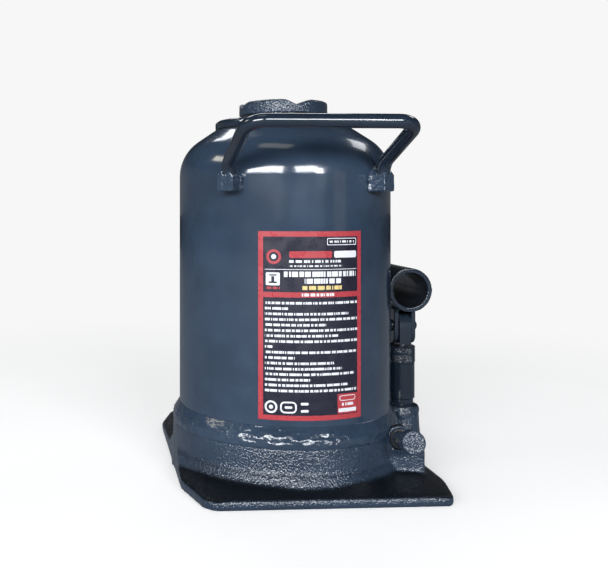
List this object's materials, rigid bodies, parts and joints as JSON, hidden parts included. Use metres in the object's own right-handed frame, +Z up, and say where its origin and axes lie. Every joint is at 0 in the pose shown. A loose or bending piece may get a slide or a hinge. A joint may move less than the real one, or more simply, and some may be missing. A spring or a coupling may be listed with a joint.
{
  "type": "hydraulic bottle jack",
  "caption": "Tall-lift hydraulic bottle jack with telescoping rams, an extension screw, a hand pump with a handle socket, a release valve and a carry handle.",
  "frame": {"origin": "centre of the rams on the ground, in the underside of the foot plate", "axes": "+Z up along the rams, -Y the front with the label and the carry handle, +X the side of the pump"},
  "size_m": [0.1739, 0.235, 0.24],
  "materials": {
    "enamel": "gloss enamel over cast and welded steel",
    "ground_steel": "ground and polished, oiled",
    "plain_steel": "turned, lightly oiled",
    "seal_rubber": "smooth nitrile",
    "plug_rubber": "moulded, semi-matt",
    "brass": "satin",
    "backup_ring_plastic": "satin",
    "label_film": "gloss film with printed bars and a red border, no lettering"
  },
  "bodies": {
    "jack_body": {"base": "enamel", "reservoir_shell": "enamel", "label": "label_film", "handle_brackets": "enamel", "carry_handle": "enamel", "main_cylinder": "plain_steel", "cylinder_gasket": "brass", "shell_seal": "seal_rubber", "gland_nut": "enamel", "gland_seal": "seal_rubber", "gland_wiper": "seal_rubber", "pump_barrel": "enamel", "pump_gasket": "brass", "plunger_wiper": "seal_rubber", "link_pin": "plain_steel", "suction_seat_plug": "plain_steel", "oil_filter": "brass", "discharge_plug": "plain_steel", "discharge_spring": "plain_steel", "overload_spring": "plain_steel", "overload_adjuster": "plain_steel", "overload_cap": "plain_steel", "passage_plugs": "plain_steel", "release_seal": "seal_rubber"},
    "outer_ram": {"outer_ram": "ground_steel", "outer_ram_seal": "seal_rubber", "outer_ram_backup_ring": "backup_ring_plastic", "ram_head": "plain_steel", "ram_head_seal": "seal_rubber", "ram_head_wiper": "seal_rubber"},
    "inner_ram": {"inner_ram": "ground_steel", "inner_ram_seal": "seal_rubber", "inner_ram_backup_ring": "backup_ring_plastic"},
    "screw_carrier": {"screw_stop_ring": "plain_steel"},
    "screw": {"extension_screw": "plain_steel", "saddle": "enamel"},
    "link": {"link_bar": "enamel"},
    "lever": {"handle_socket": "enamel", "plunger_pin": "plain_steel", "fulcrum_pin": "plain_steel"},
    "plunger": {"pump_plunger": "ground_steel", "plunger_seal": "seal_rubber"},
    "release_ball": {"release_ball": "ground_steel"},
    "release_knob": {"release_screw": "enamel", "release_cross_pin": "plain_steel"},
    "suction_ball": {"suction_ball": "ground_steel"},
    "discharge_ball": {"discharge_ball": "ground_steel"},
    "overload_ball": {"overload_ball": "ground_steel"},
    "filler_plug": {"filler_plug": "plug_rubber"}
  },
  "joints": [
    {"name": "outer_ram_lift", "type": "slide", "parent": "jack_body", "child": "outer_ram", "axis": [0, 0, 1], "range_m": [0, 0.16]},
    {"name": "inner_ram_lift", "type": "slide", "parent": "outer_ram", "child": "inner_ram", "axis": [0, 0, 1], "range_m": [0, 0.156]},
    {"name": "screw_rise", "type": "slide", "parent": "inner_ram", "child": "screw_carrier", "axis": [0, 0, 1], "range_m": [0, 0.0901]},
    {"name": "screw_turn", "type": "hinge", "parent": "screw_carrier", "child": "screw", "pos_m": [0, 0, 0.231], "axis": [0, 0, 1], "range_deg": [0, 5400]},
    {"name": "link_swing", "type": "hinge", "parent": "jack_body", "child": "link", "pos_m": [0.0845, 0.035, 0.046], "axis": [1, 0, 0], "range_deg": [0, 4]},
    {"name": "pump_lever", "type": "hinge", "parent": "link", "child": "lever", "pos_m": [0.0845, 0.035, 0.0927], "axis": [-1, 0, 0], "range_deg": [0, 38.6]},
    {"name": "plunger_stroke", "type": "slide", "parent": "jack_body", "child": "plunger", "axis": [0, 0, 1], "range_m": [0, 0.0155]},
    {"name": "release_ball_lift", "type": "slide", "parent": "jack_body", "child": "release_ball", "axis": [0, -0.9848, 0.1736], "range_m": [0, 0.0012]},
    {"name": "release_screw_turn", "type": "hinge", "parent": "release_ball", "child": "release_knob", "pos_m": [0.061, -0.0507, 0.029], "axis": [0, -0.9848, 0.1736], "range_deg": [0, 450.5]},
    {"name": "suction_ball_lift", "type": "slide", "parent": "jack_body", "child": "suction_ball", "axis": [0, 0, 1], "range_m": [0, 0.002]},
    {"name": "discharge_ball_drop", "type": "slide", "parent": "jack_body", "child": "discharge_ball", "axis": [0, 0, -1], "range_m": [0, 0.001], "deforming": ["discharge_spring"]},
    {"name": "overload_ball_drop", "type": "slide", "parent": "jack_body", "child": "overload_ball", "axis": [0, 0, -1], "range_m": [0, 0.001], "deforming": ["overload_spring"]},
    {"name": "filler_plug_out", "type": "slide", "parent": "jack_body", "child": "filler_plug", "axis": [0, 1, 0], "range_m": [0, 0.02]}
  ],
  "couplings": [
    {"joint": "screw_rise", "follows": "screw_turn", "m_per_rad": 0.00095493},
    {"joint": "link_swing", "follows": "pump_lever", "ratio": 0.093782},
    {"joint": "plunger_stroke", "follows": "pump_lever", "m_per_rad": 0.022764},
    {"joint": "release_screw_turn", "follows": "release_ball_lift", "rad_per_m": 6545}
  ]
}
